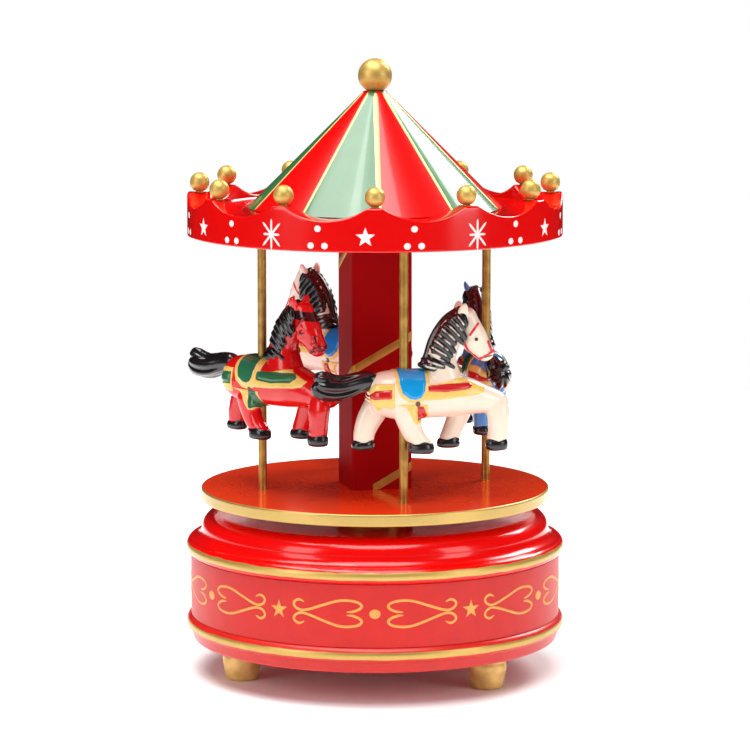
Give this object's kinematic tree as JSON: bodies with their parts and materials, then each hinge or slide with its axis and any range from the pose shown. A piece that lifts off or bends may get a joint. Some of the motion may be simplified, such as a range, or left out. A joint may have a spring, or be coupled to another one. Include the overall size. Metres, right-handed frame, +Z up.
{
  "type": "carousel music box",
  "caption": "Wooden carousel music box: a turning deck with horses on poles under a scalloped canopy, on a round base with a key-wound movement.",
  "frame": {"origin": "centre of the base on the floor, on the turning axis", "axes": "+Z up along the turning axis, -Y towards the front"},
  "size_m": [0.1102, 0.1122, 0.1787],
  "materials": {
    "plinth_red": "satin red paint on turned wood",
    "wall_red": "satin red paint on turned wood, printed with gold ornament",
    "lacquer_red": "glossy red lacquer on turned wood",
    "deck_red": "glossy orange-red lacquer on wood, gold edge",
    "column_red": "satin dark red paint with a gold helical stripe",
    "cone_paint": "glossy paint in red and green panels with gold lines",
    "gold_paint": "gold paint on turned wood",
    "antique_gold": "antique gold paint",
    "horse_cream": "glossy hand-painted resin",
    "horse_red": "glossy hand-painted resin",
    "horse_blue": "glossy hand-painted resin",
    "brass": "machined brass",
    "screw_brass": "plated steel screws",
    "steel": "machined steel",
    "nickel": "nickel-plated steel",
    "cast_bed": "zinc casting",
    "brake_plastic": "moulded plastic"
  },
  "bodies": {
    "base": {"base_plinth": "plinth_red", "base_wall": "wall_red", "base_cap": "lacquer_red", "foot_1": "antique_gold", "foot_2": "antique_gold", "foot_3": "antique_gold", "base_screws": "screw_brass", "spindle_bush": "brass", "movement_bedplate": "cast_bed", "movement_screws": "screw_brass", "comb": "steel", "comb_screws": "screw_brass", "inner_bearing": "steel", "outer_bearing": "steel", "governor_bracket": "steel", "ratchet_click": "steel"},
    "carousel": {"spring_barrel": "brass", "barrel_cover": "brass", "mainspring": "steel", "output_shaft": "steel", "deck_hub": "brass", "hub_screws": "screw_brass", "deck": "deck_red", "column": "column_red", "canopy_rim": "lacquer_red", "canopy_cone": "cone_paint", "finial_ball": "gold_paint", "rim_ball_1": "gold_paint", "rim_ball_2": "gold_paint", "rim_ball_3": "gold_paint", "rim_ball_4": "gold_paint", "rim_ball_5": "gold_paint", "rim_ball_6": "gold_paint", "rim_ball_7": "gold_paint", "rim_ball_8": "gold_paint", "rim_ball_9": "gold_paint", "rim_ball_10": "gold_paint", "rim_ball_11": "gold_paint", "rim_ball_12": "gold_paint", "pole_1": "antique_gold", "pole_2": "antique_gold", "pole_3": "antique_gold", "pole_4": "antique_gold", "horse_front_white": "horse_cream", "horse_left_red": "horse_red", "horse_rear_white": "horse_cream", "horse_right_blue": "horse_blue"},
    "cylinder": {"music_cylinder": "brass", "cylinder_arbor": "steel", "cylinder_pinion": "steel", "cylinder_gear": "brass"},
    "idler": {"idler_arbor": "steel", "idler_wheel": "brass"},
    "governor": {"governor_worm": "steel", "air_brake": "brake_plastic"},
    "winding": {"winding_arbor": "steel", "winding_key": "nickel", "ratchet_wheel": "steel"}
  },
  "joints": [
    {"name": "carousel_spin", "type": "hinge", "parent": "base", "child": "carousel", "pos_m": [0, 0, 0.0475], "axis": [0, 0, 1], "continuous": true},
    {"name": "key_turn", "type": "hinge", "parent": "base", "child": "winding", "pos_m": [0, 0, 0.01], "axis": [0, 0, 1], "continuous": true},
    {"name": "cylinder_spin", "type": "hinge", "parent": "base", "child": "cylinder", "pos_m": [0.0166, 0, 0.02647], "axis": [1, 0, 0], "continuous": true},
    {"name": "idler_spin", "type": "hinge", "parent": "base", "child": "idler", "pos_m": [0.03394, -0.008, 0.02647], "axis": [1, 0, 0], "continuous": true},
    {"name": "governor_spin", "type": "hinge", "parent": "base", "child": "governor", "pos_m": [0.03864, -0.0146, 0.02647], "axis": [0, 0, 1], "continuous": true}
  ],
  "couplings": [
    {"joint": "cylinder_spin", "follows": "carousel_spin", "ratio": 4},
    {"joint": "idler_spin", "follows": "carousel_spin", "ratio": -12},
    {"joint": "governor_spin", "follows": "carousel_spin", "ratio": -120}
  ]
}
